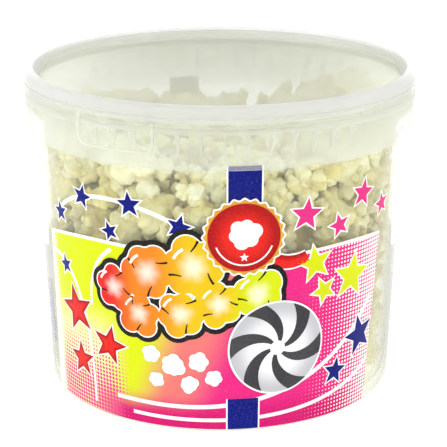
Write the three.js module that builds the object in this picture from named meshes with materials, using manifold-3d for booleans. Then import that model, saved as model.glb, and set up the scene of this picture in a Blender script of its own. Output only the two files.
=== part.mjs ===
// Pail of popcorn: a round clear plastic pail with a collar under its rim, a press-on lid,
// a film label round the wall with a seam at one side, and a heap of popcorn inside.
// Millimetres, +Z up, the origin at the centre of the base, the front towards -Y.
import * as THREE from 'three';
import { mergeVertices } from 'three/addons/utils/BufferGeometryUtils.js';
import Module from 'manifold-3d';

const wasm = await Module();
wasm.setup();

// ---- driving dimensions -------------------------------------------------------------------

const HEIGHT = 175.6;           // floor to the crest of the lid
const BASE_RADIUS = 95.2;       // outside of the wall at the floor
const TAPER = 0.0403;           // growth of the wall's radius for each millimetre of height
const WALL = 1.4;               // wall and base thickness
const FOOT_HEIGHT = 2.6;        // hollow under the base, inside the foot ring
const FOOT_WIDTH = 4.6;         // flat of the foot ring
const SEAT = 164.6;             // top of the ledge that carries the collar
const COLLAR_RADIUS = 108.4;    // widest outside radius of the collar
const COLLAR_DEPTH = 20.3;      // from the seat down to the collar's lower edge
const COLLAR_LIP = 5;           // from the seat up to the collar's upper edge
const COLLAR_DRAFT = 0.8;       // how far the collar's lower edge draws in
const COLLAR_WALL = 1.4;
const RIM_HEIGHT = 173.1;       // top of the pail's own rim, under the lid
const GUSSETS = 56;             // webs between the wall and the collar, under the ledge
const GUSSET_DROP = 14;         // length of a web down the wall
const GUSSET_THICKNESS = 1.1;
const GUSSET_TURN = 1.4;        // degrees from the front to the nearest web
const TAB_TURNS = [-29, 184];   // degrees from the front to the middle of each tear tab
const TAB_WIDTH = 43;
const TAB_DROP = 11;            // from the collar's widest line down to a tab's lower edge
const TAB_RISE = 4;             // from that line up to the ends of its outline
const TAB_CORNER = 5;
const TAB_LINE = 0.8;           // width of the raised outline of a tab
const TAB_RELIEF = 0.6;         // how far the outline stands out
const LID_WALL = 1.3;
const LID_RECESS = 5.5;         // from the crest down to the top of the lid's panel
const LID_RADIUS = 106.8;       // widest outside radius of the lid's rim, over the collar
const LID_BROW = 170.1;         // lower edge of the lid's rim outside, just over the collar
const LID_SKIRT = 166.6;        // lower edge of the lid's skirt, inside the collar
const FIT = 0.4;                // clearance between pieces that touch
const LABEL_LOW = 1.4;
const LABEL_TOP = 145.6;
const LABEL_FILM = 0.35;
const LABEL_GAP = 0.3;
const LABEL_SEAM = 2.4;         // width of the open seam
const LABEL_SEAM_TURN = 90;     // degrees from the front to the seam, on the right-hand side
const LEVEL = 131;              // height of the popcorn in the middle
const LEVEL_SLOPE = 0.078;      // rise of the popcorn for each millimetre towards +X
const LEVEL_BOWL = 25;          // further rise of the popcorn at the left and right walls
const HEAP_LIMIT = 164;         // the popcorn stays below this, clear of the lid
const PIECE = 21;               // size of the larger popped kernels
const WINDOW_LOW = 96;          // below this the print on the label hides the popcorn

const SEGMENTS = 56;            // facets round the pail
const SEED = 20391;

const wallOuter = (z) => BASE_RADIUS + TAPER * z;
const wallInner = (z) => wallOuter(z) - WALL;
const radians = THREE.MathUtils.degToRad;

// ---- tools --------------------------------------------------------------------------------

// A solid for joining and cutting, from a closed three.js geometry.
function solid(geometry) {
  const bare = geometry.clone();
  bare.deleteAttribute('normal');
  bare.deleteAttribute('uv');
  const merged = mergeVertices(bare, 1e-4);
  const vertProperties = Float32Array.from(merged.attributes.position.array);
  const triVerts = Uint32Array.from(merged.index.array);
  return new wasm.Manifold(new wasm.Mesh({ numProp: 3, vertProperties, triVerts }));
}

// The three.js geometry of a finished solid.
function geometryOf(body) {
  const mesh = body.getMesh();
  const geometry = new THREE.BufferGeometry();
  geometry.setAttribute('position', new THREE.BufferAttribute(mesh.vertProperties, 3));
  geometry.setIndex(new THREE.BufferAttribute(mesh.triVerts, 1));
  geometry.computeVertexNormals();
  return geometry;
}

// A turned geometry about +Z from [radius, height] pairs, listed with the material on the left.
function turned(profile, segments = SEGMENTS) {
  const points = profile.map(([radius, height]) => new THREE.Vector2(radius, height));
  return new THREE.LatheGeometry(points, segments).rotateX(Math.PI / 2);
}

// Seeded random numbers from 0 to 1 (mulberry32).
function randomSource(seed) {
  let state = seed;
  return () => {
    state = (state + 0x6d2b79f5) | 0;
    let mixed = Math.imul(state ^ (state >>> 15), 1 | state);
    mixed = (mixed + Math.imul(mixed ^ (mixed >>> 7), 61 | mixed)) ^ mixed;
    return ((mixed ^ (mixed >>> 14)) >>> 0) / 4294967296;
  };
}

function piece(name, geometry, look) {
  const mesh = new THREE.Mesh(geometry, new THREE.MeshStandardMaterial(look));
  mesh.name = name;
  return mesh;
}

// ---- the pail -----------------------------------------------------------------------------

const COLLAR_LOW = SEAT - COLLAR_DEPTH;
const COLLAR_TOP = SEAT + COLLAR_LIP;
const COLLAR_WIDEST = SEAT - 1.6;
const LEDGE_LOW = SEAT - 2;
const FLOOR = FOOT_HEIGHT + WALL;

// Wall, base, foot ring, ledge, collar and rim in one turned profile.
function pailShell() {
  const rimBead = 1.1;
  const collarInner = COLLAR_RADIUS - COLLAR_WALL;
  const lipDrawIn = 1.2;
  const footOuter = BASE_RADIUS - 1.3;
  return turned([
    [0, FOOT_HEIGHT],
    [footOuter - FOOT_WIDTH - 1.4, FOOT_HEIGHT],
    [footOuter - FOOT_WIDTH, 0],
    [footOuter, 0],
    [wallOuter(1.3), 1.3],
    [wallOuter(LEDGE_LOW), LEDGE_LOW],
    [collarInner, LEDGE_LOW],
    [collarInner - COLLAR_DRAFT, COLLAR_LOW],
    [COLLAR_RADIUS - COLLAR_DRAFT, COLLAR_LOW],
    [COLLAR_RADIUS, COLLAR_WIDEST],
    [COLLAR_RADIUS - lipDrawIn, COLLAR_TOP],
    [collarInner - lipDrawIn + 0.4, COLLAR_TOP],
    [collarInner, SEAT],
    [wallOuter(SEAT), SEAT],
    [wallOuter(RIM_HEIGHT - 3), RIM_HEIGHT - 3],
    [wallOuter(RIM_HEIGHT) + rimBead, RIM_HEIGHT - 1.7],
    [wallOuter(RIM_HEIGHT), RIM_HEIGHT],
    [wallInner(RIM_HEIGHT), RIM_HEIGHT],
    [wallInner(FLOOR + 3), FLOOR + 3],
    [wallInner(FLOOR) - 2.6, FLOOR],
    [0, FLOOR],
  ]);
}

// One web under the ledge: a triangle that narrows from the ledge down the wall.
function gusset(turnDegrees) {
  const buried = 0.6;
  const inner = wallOuter(LEDGE_LOW - GUSSET_DROP) - buried;
  const outer = COLLAR_RADIUS - COLLAR_WALL + buried;
  const outline = new THREE.Shape([
    new THREE.Vector2(inner, LEDGE_LOW - GUSSET_DROP),
    new THREE.Vector2(outer, LEDGE_LOW + buried),
    new THREE.Vector2(inner, LEDGE_LOW + buried),
  ]);
  return new THREE.ExtrudeGeometry(outline, { depth: GUSSET_THICKNESS, bevelEnabled: false })
    .translate(0, 0, -GUSSET_THICKNESS / 2)
    .rotateX(Math.PI / 2)
    .rotateZ(radians(turnDegrees - 90));
}

// The raised U outline of a tear tab, drawn flat and then wrapped on the collar.
function tabOutline(turnDegrees) {
  const half = TAB_WIDTH / 2;
  const top = COLLAR_WIDEST + TAB_RISE;
  const low = COLLAR_WIDEST - TAB_DROP;
  const shape = new THREE.Shape();
  shape.moveTo(-half, top);
  shape.lineTo(-half, low + TAB_CORNER);
  shape.absarc(-half + TAB_CORNER, low + TAB_CORNER, TAB_CORNER, Math.PI, Math.PI * 1.5);
  for (let x = -half / 2; x <= half / 2; x += half / 4) shape.lineTo(x, low);
  shape.absarc(half - TAB_CORNER, low + TAB_CORNER, TAB_CORNER, Math.PI * 1.5, Math.PI * 2);
  shape.lineTo(half, top);
  shape.lineTo(half - TAB_LINE, top);
  const innerCorner = TAB_CORNER - TAB_LINE;
  shape.absarc(half - TAB_CORNER, low + TAB_CORNER, innerCorner, Math.PI * 2, Math.PI * 1.5, true);
  for (let x = half / 2; x >= -half / 2; x -= half / 4) shape.lineTo(x, low + TAB_LINE);
  shape.absarc(-half + TAB_CORNER, low + TAB_CORNER, innerCorner, Math.PI * 1.5, Math.PI, true);
  shape.lineTo(-half + TAB_LINE, top);
  const buried = 1.1;
  const depth = buried + TAB_RELIEF;
  const flat = new THREE.ExtrudeGeometry(shape, { depth, bevelEnabled: false, curveSegments: 4 });
  const position = flat.attributes.position;
  for (let i = 0; i < position.count; i += 1) {
    const height = position.getY(i);
    const lean = COLLAR_DRAFT * (COLLAR_WIDEST - height) / (COLLAR_WIDEST - COLLAR_LOW);
    const radius = COLLAR_RADIUS - Math.max(lean, 0) - buried + position.getZ(i);
    const angle = position.getX(i) / COLLAR_RADIUS + radians(turnDegrees);
    position.setXYZ(i, radius * Math.sin(angle), -radius * Math.cos(angle), height);
  }
  return flat;
}

function makePail() {
  let body = solid(pailShell());
  for (let i = 0; i < GUSSETS; i += 1) {
    body = body.add(solid(gusset(GUSSET_TURN + i * 360 / GUSSETS)));
  }
  for (const turn of TAB_TURNS) body = body.add(solid(tabOutline(turn)));
  return body;
}

// ---- the lid ------------------------------------------------------------------------------

// A recessed panel, a plug wall inside the pail, a skirt that hooks over the pail's rim and a
// brow that slopes down from the crest and stands out over the collar.
function makeLid() {
  const plug = wallInner(LID_SKIRT) - FIT;
  const skirtInner = wallOuter(RIM_HEIGHT) + 1.1 + FIT;
  const panel = HEIGHT - LID_RECESS;
  const plugLow = panel - 4.2;
  return solid(turned([
    [0, panel - LID_WALL],
    [plug - 2, panel - LID_WALL],
    [plug - 1, plugLow],
    [plug, RIM_HEIGHT + FIT],
    [skirtInner, RIM_HEIGHT + FIT],
    [skirtInner, LID_SKIRT],
    [skirtInner + LID_WALL, LID_SKIRT],
    [skirtInner + LID_WALL, LID_BROW],
    [LID_RADIUS - 0.3, LID_BROW],
    [LID_RADIUS, LID_BROW + 0.5],
    [LID_RADIUS - 1.1, HEIGHT - 3],
    [LID_RADIUS - 2.4, HEIGHT - 1.2],
    [LID_RADIUS - 3.7, HEIGHT - 0.3],
    [LID_RADIUS - 5.3, HEIGHT],
    [plug + 0.3, HEIGHT - 0.6],
    [plug - 1.3, HEIGHT - 2.1],
    [plug - 1.5, panel + 0.8],
    [plug - 2.4, panel],
    [0, panel],
  ]));
}

// ---- the label ----------------------------------------------------------------------------

// A film sleeve that follows the wall's taper and stays open along its seam.
function makeLabel() {
  const halfSeam = LABEL_SEAM / 2 / BASE_RADIUS;
  const inner = BASE_RADIUS + LABEL_GAP;
  const start = radians(LABEL_SEAM_TURN - 90) + halfSeam;
  const end = start + Math.PI * 2 - 2 * halfSeam;
  const section = new THREE.Shape();
  section.absarc(0, 0, inner + LABEL_FILM, start, end, false);
  section.absarc(0, 0, inner, end, start, true);
  const sleeve = new THREE.ExtrudeGeometry(section, {
    depth: LABEL_TOP - LABEL_LOW, bevelEnabled: false, curveSegments: SEGMENTS / 2,
  }).translate(0, 0, LABEL_LOW);
  const position = sleeve.attributes.position;
  for (let i = 0; i < position.count; i += 1) {
    const radius = Math.hypot(position.getX(i), position.getY(i));
    const grown = (radius + TAPER * position.getZ(i)) / radius;
    position.setXY(i, position.getX(i) * grown, position.getY(i) * grown);
  }
  return solid(sleeve);
}

// ---- the popcorn --------------------------------------------------------------------------

// One popped kernel at a place: a faceted ball with each corner pushed in or out at random.
function kernel(random, [x, y, z], size) {
  const ball = new THREE.IcosahedronGeometry(size / 2, 0);
  ball.deleteAttribute('normal');
  ball.deleteAttribute('uv');
  const lump = mergeVertices(ball, 1e-4);
  const corner = new THREE.Vector3();
  for (let i = 0; i < lump.attributes.position.count; i += 1) {
    corner.fromBufferAttribute(lump.attributes.position, i).multiplyScalar(0.8 + 0.45 * random());
    lump.attributes.position.setXYZ(i, corner.x, corner.y, corner.z);
  }
  return lump.rotateX(2 * Math.PI * random()).rotateZ(2 * Math.PI * random()).translate(x, y, z);
}

// Rise of the heap's surface over its middle, at a place from left to right.
const heapRise = (x) => LEVEL_SLOPE * x + LEVEL_BOWL * (x / BASE_RADIUS) ** 2;

// Kernels spread evenly round one ring, each a little off its place, height and size. The
// height is a rule of the place from left to right; where it gives null, no kernel is made.
function ringOfKernels(random, radius, heightAt, rise) {
  const count = Math.max(1, Math.round(2 * Math.PI * radius / PIECE));
  const start = random();
  const lumps = [];
  for (let i = 0; i < count; i += 1) {
    const angle = 2 * Math.PI * (i + start + 0.4 * (random() - 0.5)) / count;
    const reach = radius + 3 * (random() - 0.5);
    const [x, y] = [reach * Math.cos(angle), reach * Math.sin(angle)];
    const size = PIECE * (0.8 + 0.4 * random());
    const height = heightAt(x);
    if (height !== null) {
      const z = Math.min(height + rise * (random() - 0.5), HEAP_LIMIT - 0.55 * size);
      lumps.push(kernel(random, [x, y, z], size));
    }
  }
  return lumps;
}

// The space inside the pail that the popcorn may fill, with its clearance to the wall.
function cavity() {
  return turned([
    [0, FLOOR + FIT],
    [wallInner(FLOOR) - 3, FLOOR + FIT],
    [wallInner(FLOOR + 4) - FIT, FLOOR + 4],
    [wallInner(HEAP_LIMIT) - FIT, HEAP_LIMIT],
    [0, HEAP_LIMIT],
  ], SEGMENTS / 2);
}

// The body inside the kernels, its top shaped to the heap's surface.
function heapCore(top, inset) {
  const rim = wallInner(top) - inset;
  const core = turned([
    [0, FLOOR + FIT + 0.5],
    [wallInner(0) - inset, FLOOR + FIT + 0.5],
    [rim, top - 6],
    [rim - 9, top],
    [rim / 2, top],
    [0, top],
  ], SEGMENTS / 2);
  const position = core.attributes.position;
  for (let i = 0; i < position.count; i += 1) {
    const height = position.getZ(i);
    if (height > top - 7) position.setZ(i, height + heapRise(position.getX(i)));
  }
  return core;
}

// A core with the kernels that show fused on: round the clear upper wall and over the top.
function makePopcorn() {
  const random = randomSource(SEED);
  const inset = 7;
  const top = LEVEL - 6;
  const lobes = [];
  for (let z = WINDOW_LOW; z < HEAP_LIMIT - PIECE; z += 0.9 * PIECE) {
    const covered = (x) => (z < top - 0.4 * PIECE + heapRise(x) ? z : null);
    lobes.push(...ringOfKernels(random, wallInner(z) - 0.4 * PIECE, covered, 4));
  }
  for (let r = wallInner(LEVEL) - 0.42 * PIECE; r > 0; r -= PIECE) {
    lobes.push(...ringOfKernels(random, r, (x) => LEVEL - 4 + heapRise(x), 7));
  }
  const heap = lobes.reduce((body, lobe) => body.add(solid(lobe)), solid(heapCore(top, inset)))
    .intersect(solid(cavity()));
  return heap.decompose().sort((a, b) => b.volume() - a.volume())[0];
}

// ---- the whole ----------------------------------------------------------------------------

const popcornPail = new THREE.Group();
popcornPail.add(
  piece('pail', geometryOf(makePail()), { color: '#e6eae4', roughness: 0.25, metalness: 0 }),
  piece('lid', geometryOf(makeLid()), { color: '#eceee8', roughness: 0.3, metalness: 0 }),
  piece('label', geometryOf(makeLabel()), { color: '#cf2d78', roughness: 0.35, metalness: 0 }),
  piece('popcorn', geometryOf(makePopcorn()), { color: '#efe6bc', roughness: 0.8, metalness: 0 }),
);

export default popcornPail;
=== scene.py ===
"""A pail of popcorn: a clear plastic pail with a press-on lid, a printed film label and the
popped corn inside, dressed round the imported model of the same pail."""
import logging
import math
from collections.abc import Callable
from dataclasses import dataclass
from enum import Enum

import bpy
import numpy as np
from mathutils import Matrix, Vector


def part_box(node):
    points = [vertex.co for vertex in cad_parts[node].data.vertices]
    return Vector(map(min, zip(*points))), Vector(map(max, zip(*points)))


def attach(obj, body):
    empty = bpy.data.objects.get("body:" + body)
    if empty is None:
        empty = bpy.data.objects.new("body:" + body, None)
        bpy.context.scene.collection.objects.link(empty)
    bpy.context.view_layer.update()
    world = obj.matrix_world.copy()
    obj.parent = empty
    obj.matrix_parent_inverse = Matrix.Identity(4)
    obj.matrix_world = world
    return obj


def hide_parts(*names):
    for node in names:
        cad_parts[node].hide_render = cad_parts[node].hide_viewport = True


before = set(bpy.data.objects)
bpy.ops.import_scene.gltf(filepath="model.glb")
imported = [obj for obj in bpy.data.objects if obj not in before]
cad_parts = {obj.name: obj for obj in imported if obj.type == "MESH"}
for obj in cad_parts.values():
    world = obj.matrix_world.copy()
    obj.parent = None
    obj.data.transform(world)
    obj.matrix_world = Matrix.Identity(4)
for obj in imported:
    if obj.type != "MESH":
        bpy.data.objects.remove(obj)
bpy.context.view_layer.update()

LOG = logging.getLogger("popcorn_pail")
MM = 0.001
TURN = 2 * math.pi
PICTURE_SIDE = 447
WELD = 0.002 * MM
CELL = 2.4 * MM
FINE_CELL = 2.2 * MM

Colour = tuple[float, float, float, float]
Outline = list[tuple[float, float]]
Spread = tuple[np.ndarray, np.ndarray]
Placer = Callable[[np.ndarray, np.ndarray], Spread]
Piece = bpy.types.Object
Socket = bpy.types.NodeSocket


def linear(red: int, green: int, blue: int) -> Colour:
    """Turns an everyday 0 to 255 colour into the linear colour that a shader takes.

    Args:
        red: Red from 0 to 255.
        green: Green from 0 to 255.
        blue: Blue from 0 to 255.

    Returns:
        Linear red, green, blue and a full alpha.
    """
    channels = []
    for value in (red, green, blue):
        share = value / 255
        low = share / 12.92
        high = ((share + 0.055) / 1.055) ** 2.4
        channels.append(low if share <= 0.04045 else high)
    return (*channels, 1.0)


# ---- sizes ---------------------------------------------------------------------------------


@dataclass(frozen=True)
class PailWall:
    """The tapered wall of the pail, which the collar, lid, label and corn are measured from."""

    base_radius: float = 95.2 * MM
    taper: float = 0.0403
    thickness: float = 1.4 * MM
    foot_height: float = 2.6 * MM

    def outer(self, height: float | np.ndarray) -> float | np.ndarray:
        """Outside radius of the wall at a height."""
        return self.base_radius + self.taper * height

    def inner(self, height: float | np.ndarray) -> float | np.ndarray:
        """Inside radius of the wall at a height."""
        return self.outer(height) - self.thickness

    @property
    def floor(self) -> float:
        """Height of the inside of the pail's base."""
        return self.foot_height + self.thickness


WALL = PailWall()
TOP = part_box("lid")[1].z
COLLAR_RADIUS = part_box("pail")[1].x
LABEL_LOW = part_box("label")[0].z
LABEL_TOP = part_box("label")[1].z


# ---- modelling tools -----------------------------------------------------------------------


def deselect() -> None:
    """Leaves nothing selected, in object mode."""
    if bpy.context.object and bpy.context.object.mode != "OBJECT":
        bpy.ops.object.mode_set(mode="OBJECT")
    bpy.ops.object.select_all(action="DESELECT")


def choose(*pieces: Piece) -> None:
    """Selects the given pieces alone and makes the first one active."""
    deselect()
    for piece in pieces:
        piece.select_set(True)
    bpy.context.view_layer.objects.active = pieces[0]


def named(name: str) -> Piece:
    """Names the active object and its mesh, and hands it back."""
    piece = bpy.context.object
    piece.name = name
    piece.data.name = name
    return piece


def points_of(piece: Piece) -> np.ndarray:
    """Reads a piece's points as an array with a row for each."""
    flat = np.empty(3 * len(piece.data.vertices), np.float32)
    piece.data.vertices.foreach_get("co", flat)
    return flat.reshape(-1, 3).astype(float)


def corners_of(piece: Piece) -> np.ndarray:
    """Reads the number of the point at each corner of a piece's faces."""
    corners = np.empty(len(piece.data.loops), np.int32)
    piece.data.loops.foreach_get("vertex_index", corners)
    return corners


def carry(mesh: bpy.types.Mesh, name: str, values: np.ndarray) -> None:
    """Gives a mesh a named number at each of its points, for the finishes to read."""
    layer = mesh.attributes.new(name, "FLOAT", "POINT")
    layer.data.foreach_set("value", values.astype(np.float32))


def edit_all(action: Callable[..., object], **settings: object) -> None:
    """Runs an edit-mode action on all of the active piece's mesh."""
    bpy.ops.object.mode_set(mode="EDIT")
    bpy.ops.mesh.select_all(action="SELECT")
    action(**settings)
    bpy.ops.object.mode_set(mode="OBJECT")


def move_points(piece: Piece, points: np.ndarray) -> None:
    """Moves a piece's points to the rows of an array."""
    piece.data.vertices.foreach_set("co", points.astype(np.float32).ravel())
    piece.data.update()


def around(angle: np.ndarray, radius: np.ndarray, height: np.ndarray) -> np.ndarray:
    """Points about the upright axis, with their angles counted from the front."""
    return np.column_stack([radius * np.sin(angle), -radius * np.cos(angle), height])


def apply_modifier(piece: Piece, kind: str, **settings: object) -> None:
    """Adds a modifier to a piece and applies it at once.

    Args:
        piece: The piece to change.
        kind: Blender's name for the modifier.
        **settings: The modifier's own settings.
    """
    choose(piece)
    modifier = piece.modifiers.new(kind.title(), kind)
    for name, value in settings.items():
        setattr(modifier, name, value)
    bpy.ops.object.modifier_apply(modifier=modifier.name)


def close_up(piece: Piece) -> None:
    """Merges a piece's doubled points and turns its faces outwards."""
    choose(piece)
    bpy.ops.object.mode_set(mode="EDIT")
    bpy.ops.mesh.select_all(action="SELECT")
    bpy.ops.mesh.remove_doubles(threshold=WELD)
    bpy.ops.mesh.normals_make_consistent(inside=False)
    bpy.ops.object.mode_set(mode="OBJECT")


def ruffle(piece: Piece, scale: float, strength: float) -> None:
    """Pushes a piece's surface in and out by soft noise of a patch size and a depth."""
    noise = bpy.data.textures.new("ruffle", "CLOUDS")
    noise.noise_scale = scale
    noise.noise_depth = 2
    apply_modifier(piece, "DISPLACE", texture=noise, strength=strength, mid_level=0.5)
    bpy.data.textures.remove(noise)


def smooth(piece: Piece, degrees: float = 32) -> None:
    """Shades a piece smooth, apart from edges sharper than an angle."""
    choose(piece)
    bpy.ops.object.shade_smooth_by_angle(angle=math.radians(degrees))


def joined(name: str, pieces: list[Piece]) -> Piece:
    """Joins pieces into one and names it."""
    choose(*pieces)
    if len(pieces) > 1:
        bpy.ops.object.join()
    return named(name)


def turned(
    name: str, outline: Outline, steps: int = 192, sweep: float = TURN, start: float = 0
) -> Piece:
    """Draws a closed outline point by point and spins it about the upright axis.

    Args:
        name: The piece's name.
        outline: Radius and height of each point. It ends where it starts, or on the axis.
        steps: Facets in the sweep.
        sweep: Angle of the sweep in radians. A sweep short of a full turn is capped.
        start: Angle from the +X axis at which the sweep starts.

    Returns:
        The turned piece, closed and with its faces out.
    """
    deselect()
    bpy.ops.mesh.primitive_plane_add(size=MM)
    bpy.ops.object.mode_set(mode="EDIT")
    bpy.ops.mesh.merge(type="CENTER")
    radius, height = outline[0]
    bpy.ops.transform.translate(value=(radius, 0, height))
    for next_radius, next_height in outline[1:]:
        step = (next_radius - radius, 0, next_height - height)
        bpy.ops.mesh.extrude_region_move(TRANSFORM_OT_translate={"value": step})
        radius, height = next_radius, next_height
    bpy.ops.mesh.select_all(action="SELECT")
    bpy.ops.mesh.remove_doubles(threshold=WELD)
    if sweep < TURN:
        bpy.ops.mesh.edge_face_add()
    bpy.ops.mesh.spin(steps=steps, angle=sweep, center=(0, 0, 0), axis=(0, 0, 1))
    bpy.ops.object.mode_set(mode="OBJECT")
    piece = named(name)
    piece.data.transform(Matrix.Rotation(start, 4, "Z"))
    close_up(piece)
    return piece


def sheet(columns: int, rows: int, place: Placer) -> Piece:
    """Adds a grid and moves its points to where a rule puts them on the flat.

    Args:
        columns: Cells across.
        rows: Cells up.
        place: Takes the shares across and up, and gives the flat sheet's two coordinates.

    Returns:
        The flat sheet, with its coordinates kept in a UV map as well.
    """
    deselect()
    bpy.ops.mesh.primitive_grid_add(x_subdivisions=columns, y_subdivisions=rows, size=1)
    piece = bpy.context.object
    grid = points_of(piece)
    across, up = grid[:, 0] + 0.5, grid[:, 1] + 0.5
    flat_x, flat_y = place(across, up)
    move_points(piece, np.column_stack([flat_x, flat_y, np.zeros(len(grid))]))
    uv = np.column_stack([flat_x, flat_y])[corners_of(piece)]
    piece.data.uv_layers[0].name = "Flat"
    piece.data.uv_layers[0].data.foreach_set("uv", uv.astype(np.float32).ravel())
    carry(piece.data, "centre", 1 - up)
    return piece


# ---- finishes ------------------------------------------------------------------------------


class Bench:
    """The node tree of one material, with short ways to add nodes and wire them."""

    def __init__(self, name: str) -> None:
        """Starts an empty material.

        Args:
            name: The material's name.
        """
        self.material = bpy.data.materials.new(name)
        self.material.use_nodes = True
        self.tree = self.material.node_tree
        self.tree.nodes.clear()

    def node(self, kind: str, inputs: dict | None = None, **settings: object) -> bpy.types.Node:
        """Adds a node.

        Args:
            kind: The node's type without its ShaderNode prefix.
            inputs: Value or socket for each input, by name or number.
            **settings: The node's own settings.

        Returns:
            The new node.
        """
        made = self.tree.nodes.new("ShaderNode" + kind)
        for name, value in settings.items():
            setattr(made, name, value)
        for name, value in (inputs or {}).items():
            if isinstance(value, Socket):
                self.tree.links.new(value, made.inputs[name])
            else:
                made.inputs[name].default_value = value
        return made

    def math(self, operation: str, *values: object, clamp: bool = False) -> Socket:
        """Adds a Math node and hands back its result."""
        inputs = dict(enumerate(values))
        return self.node("Math", inputs, operation=operation, use_clamp=clamp).outputs[0]

    def ease(
        self, value: object, low: float, high: float, first: float = 0, last: float = 1
    ) -> Socket:
        """Adds a smooth step from one number to another as a value goes from low to high."""
        inputs = {0: value, 1: low, 2: high, 3: first, 4: last}
        return self.node("MapRange", inputs, interpolation_type="SMOOTHSTEP").outputs[0]

    def blend(self, share: object, first: object, second: object) -> Socket:
        """Adds a colour mix and hands back the mixed colour."""
        inputs = {0: share, 6: first, 7: second}
        return self.node("Mix", inputs, data_type="RGBA").outputs[2]

    def coordinates(self) -> Socket:
        """The piece's own coordinates in metres."""
        return self.node("TexCoord").outputs["Object"]

    def attribute(self, name: str) -> Socket:
        """A number that the piece's mesh carries at its points."""
        return self.node("Attribute", attribute_name=name).outputs["Fac"]

    def noise(self, scale: float, detail: float = 3, where: object = None) -> Socket:
        """Soft noise in space, with its patch size set by scale."""
        inputs = {"Vector": where or self.coordinates(), "Scale": scale, "Detail": detail}
        return self.node("TexNoise", inputs).outputs["Fac"]

    def bump(self, height: object, distance: float, strength: float = 1) -> Socket:
        """A bumped normal from a height between 0 and 1."""
        inputs = {"Strength": strength, "Distance": distance, "Height": height}
        return self.node("Bump", inputs).outputs[0]

    def finish(self, shader: Socket) -> bpy.types.Material:
        """Wires the shader to the output and hands back the material."""
        self.node("OutputMaterial", {"Surface": shader})
        return self.material


@dataclass(frozen=True)
class ClearPlastic:
    """Moulded polypropylene, see-through with a milky haze and a soft gloss."""

    name: str
    haze: float
    cloud: Colour
    tint: Colour
    roughness: float = 0.05
    mirror: float = 0.02
    ripple: float = 0.1
    ripple_depth: float = 0.4 * MM
    flow_scale: float = 16
    unevenness: float = 0.12
    slant_limit: float = 1.12
    passed_milk: float = 0.55
    grazing_mirror: float = 0.9
    sheen: Colour = linear(214, 215, 212)

    def milk(self, bench: Bench) -> Socket | float:
        """Share of the light that a face seen straight on scatters."""
        return self.haze

    def body_colour(self, bench: Bench) -> Socket | Colour:
        """Colour of the light that the plastic scatters."""
        return self.cloud

    def clear_colour(self, bench: Bench) -> Socket | Colour:
        """Tint of the light that goes straight through."""
        return self.tint

    def reach(self, bench: Bench) -> Socket:
        """Distance from the upright axis."""
        spot = bench.node("SeparateXYZ", {0: bench.coordinates()}).outputs
        squares = [bench.math("MULTIPLY", spot[i], spot[i]) for i in (0, 1)]
        return bench.math("SQRT", bench.math("ADD", *squares))

    def build(self) -> bpy.types.Material:
        """Makes the material.

        Returns:
            A thin wall that lets light straight through, scatters some of it and mirrors more
            towards its edges. The more slanting the light, the more plastic it crosses and the
            more of it is scattered.
        """
        bench = Bench(self.name)
        flow = bench.noise(self.flow_scale, 3)
        slant = bench.node("LayerWeight", {"Blend": 0.5}).outputs["Facing"]
        depth = bench.math("DIVIDE", 1.0, bench.math("SUBTRACT", self.slant_limit, slant))
        low, high = 1 - self.unevenness, 1 + self.unevenness
        uneven = bench.math("MULTIPLY", bench.ease(flow, 0.3, 0.7, low, high), self.milk(bench))
        clear = bench.math("SUBTRACT", 1.0, uneven)
        haze = bench.math("SUBTRACT", 1.0, bench.math("POWER", clear, depth))
        waves = bench.bump(flow, self.ripple_depth, self.ripple)
        through = bench.node("BsdfTransparent", {"Color": self.clear_colour(bench)}).outputs[0]
        cloud = self.body_colour(bench)
        lit = bench.node("BsdfDiffuse", {"Color": cloud, "Normal": waves}).outputs[0]
        glow = bench.node("BsdfTranslucent", {"Color": cloud, "Normal": waves}).outputs[0]
        milk = bench.node("MixShader", {0: self.passed_milk, 1: lit, 2: glow}).outputs[0]
        body = bench.node("MixShader", {0: haze, 1: through, 2: milk}).outputs[0]
        gloss = bench.node(
            "BsdfGlossy", {"Color": self.sheen, "Roughness": self.roughness, "Normal": waves}
        ).outputs[0]
        grazing = bench.math("POWER", slant, 5.0)
        mirrored = bench.math(
            "MULTIPLY_ADD", grazing, self.grazing_mirror, self.mirror, clamp=True
        )
        shader = bench.node("MixShader", {0: mirrored, 1: body, 2: gloss}).outputs[0]
        return bench.finish(shader)


@dataclass(frozen=True)
class PailPlastic(ClearPlastic):
    """The pail's plastic: clearest at the wall, milkier in its upper band, ledge and collar."""

    upper_haze: float = 0.26
    collar_haze: float = 0.22
    ledge_haze: float = 0.4
    band_low: float = 139 * MM
    band_fade: float = 4 * MM
    ledge: tuple[float, float] = (162.6 * MM, 164.6 * MM)
    ledge_inside: float = 102.3 * MM
    collar_inside: float = 105 * MM

    def milk(self, bench: Bench) -> Socket | float:
        """Share of the light that a face seen straight on scatters, zone by zone."""
        height = bench.node("SeparateXYZ", {0: bench.coordinates()}).outputs[2]
        reach = self.reach(bench)
        band = bench.ease(height, self.band_low, self.band_low + self.band_fade)
        on_collar = bench.ease(reach, self.collar_inside - MM, self.collar_inside)
        low, high = self.ledge
        on_ledge = bench.math(
            "MULTIPLY", bench.ease(height, low - MM, low), bench.ease(height, high + MM, high)
        )
        beyond = bench.ease(reach, self.ledge_inside, self.ledge_inside + MM)
        on_ledge = bench.math("MULTIPLY", on_ledge, beyond)
        share = self.haze
        for zone, haze in (
            (band, self.upper_haze), (on_collar, self.collar_haze), (on_ledge, self.ledge_haze),
        ):
            step = bench.math("SUBTRACT", haze, share)
            share = bench.math("MULTIPLY_ADD", zone, step, share)
        return share


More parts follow.
